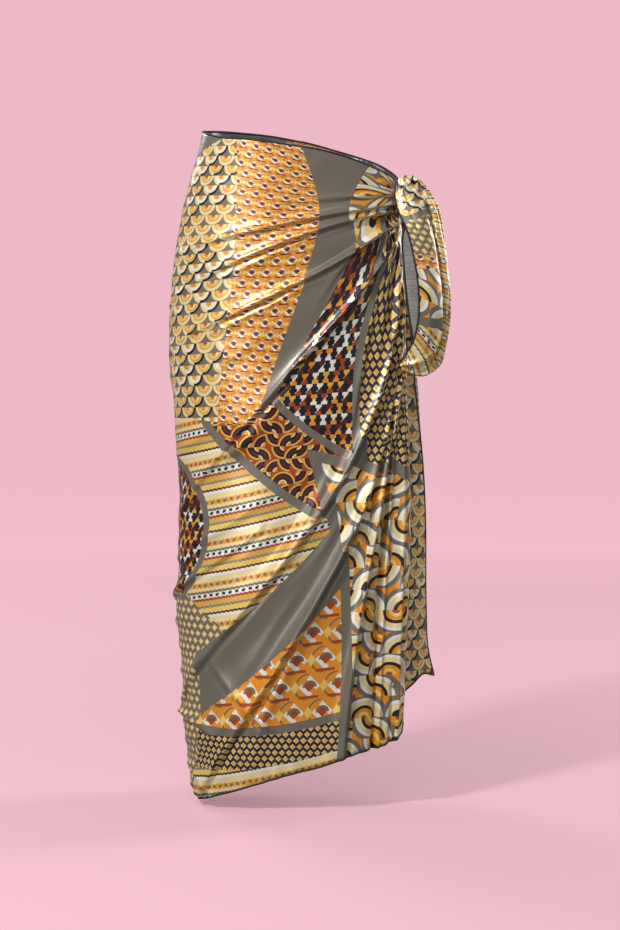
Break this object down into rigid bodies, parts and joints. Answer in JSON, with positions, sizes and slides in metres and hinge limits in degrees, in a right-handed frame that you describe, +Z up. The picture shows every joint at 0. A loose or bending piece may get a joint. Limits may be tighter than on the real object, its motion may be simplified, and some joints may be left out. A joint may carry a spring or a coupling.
{
  "type": "wrap sarong",
  "caption": "Long printed satin wrap sarong, tied at the left hip in a knot with a drooping bow loop, hollow and open at waist and hem as worn.",
  "frame": {"origin": "middle of the waist opening, where the wearer's waist holds the sarong up", "axes": "+Z up, -Y towards the wearer's front, +X towards the wearer's left, where the knot is"},
  "size_m": [0.4168, 0.2556, 0.9955],
  "materials": {
    "printed_satin": "soft satin with a patchwork print in ochre, orange, cream, taupe and near black",
    "hem_thread": "dark matt overlock thread"
  },
  "bodies": {
    "root": {"front_wrap": "printed_satin", "back_wrap": "printed_satin", "bow_loop": "printed_satin", "knot": "printed_satin"}
  },
  "joints": []
}
